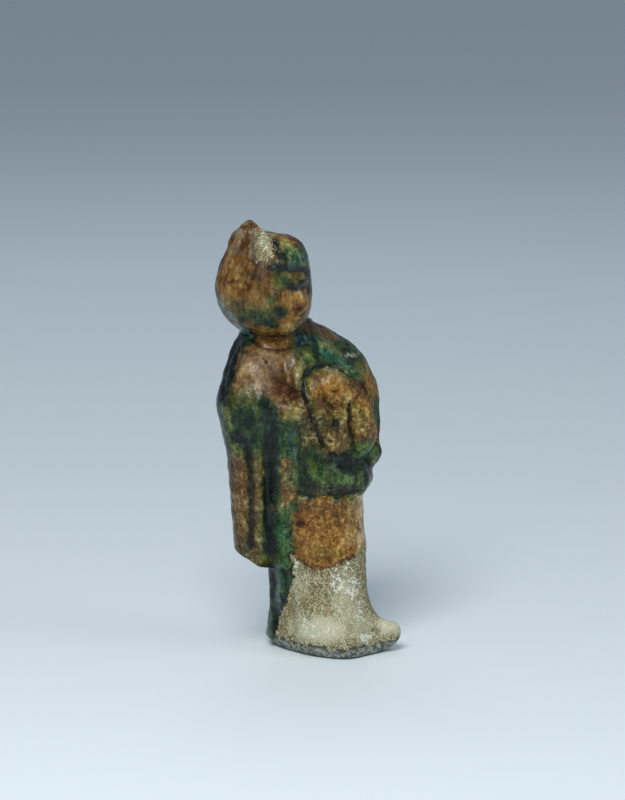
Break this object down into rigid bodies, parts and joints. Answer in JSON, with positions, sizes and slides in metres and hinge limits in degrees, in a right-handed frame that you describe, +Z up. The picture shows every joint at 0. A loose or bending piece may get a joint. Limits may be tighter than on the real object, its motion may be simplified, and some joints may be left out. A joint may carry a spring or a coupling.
{
  "type": "glazed pottery tomb attendant figure",
  "caption": "Small standing attendant in press-moulded earthenware with running amber and green lead glaze and a bare foot, holding a bundle against the chest.",
  "frame": {"origin": "middle of the figure's box, on the plane of the flat underside", "axes": "+Z up, the figure faces -Y, its left hand is towards +X"},
  "size_m": [0.052, 0.0454, 0.12],
  "materials": {
    "sancai_glaze": "glossy, crackled amber and green lead glaze that runs out above a bare buff clay foot"
  },
  "bodies": {
    "root": {"figure": "sancai_glaze"}
  },
  "joints": []
}
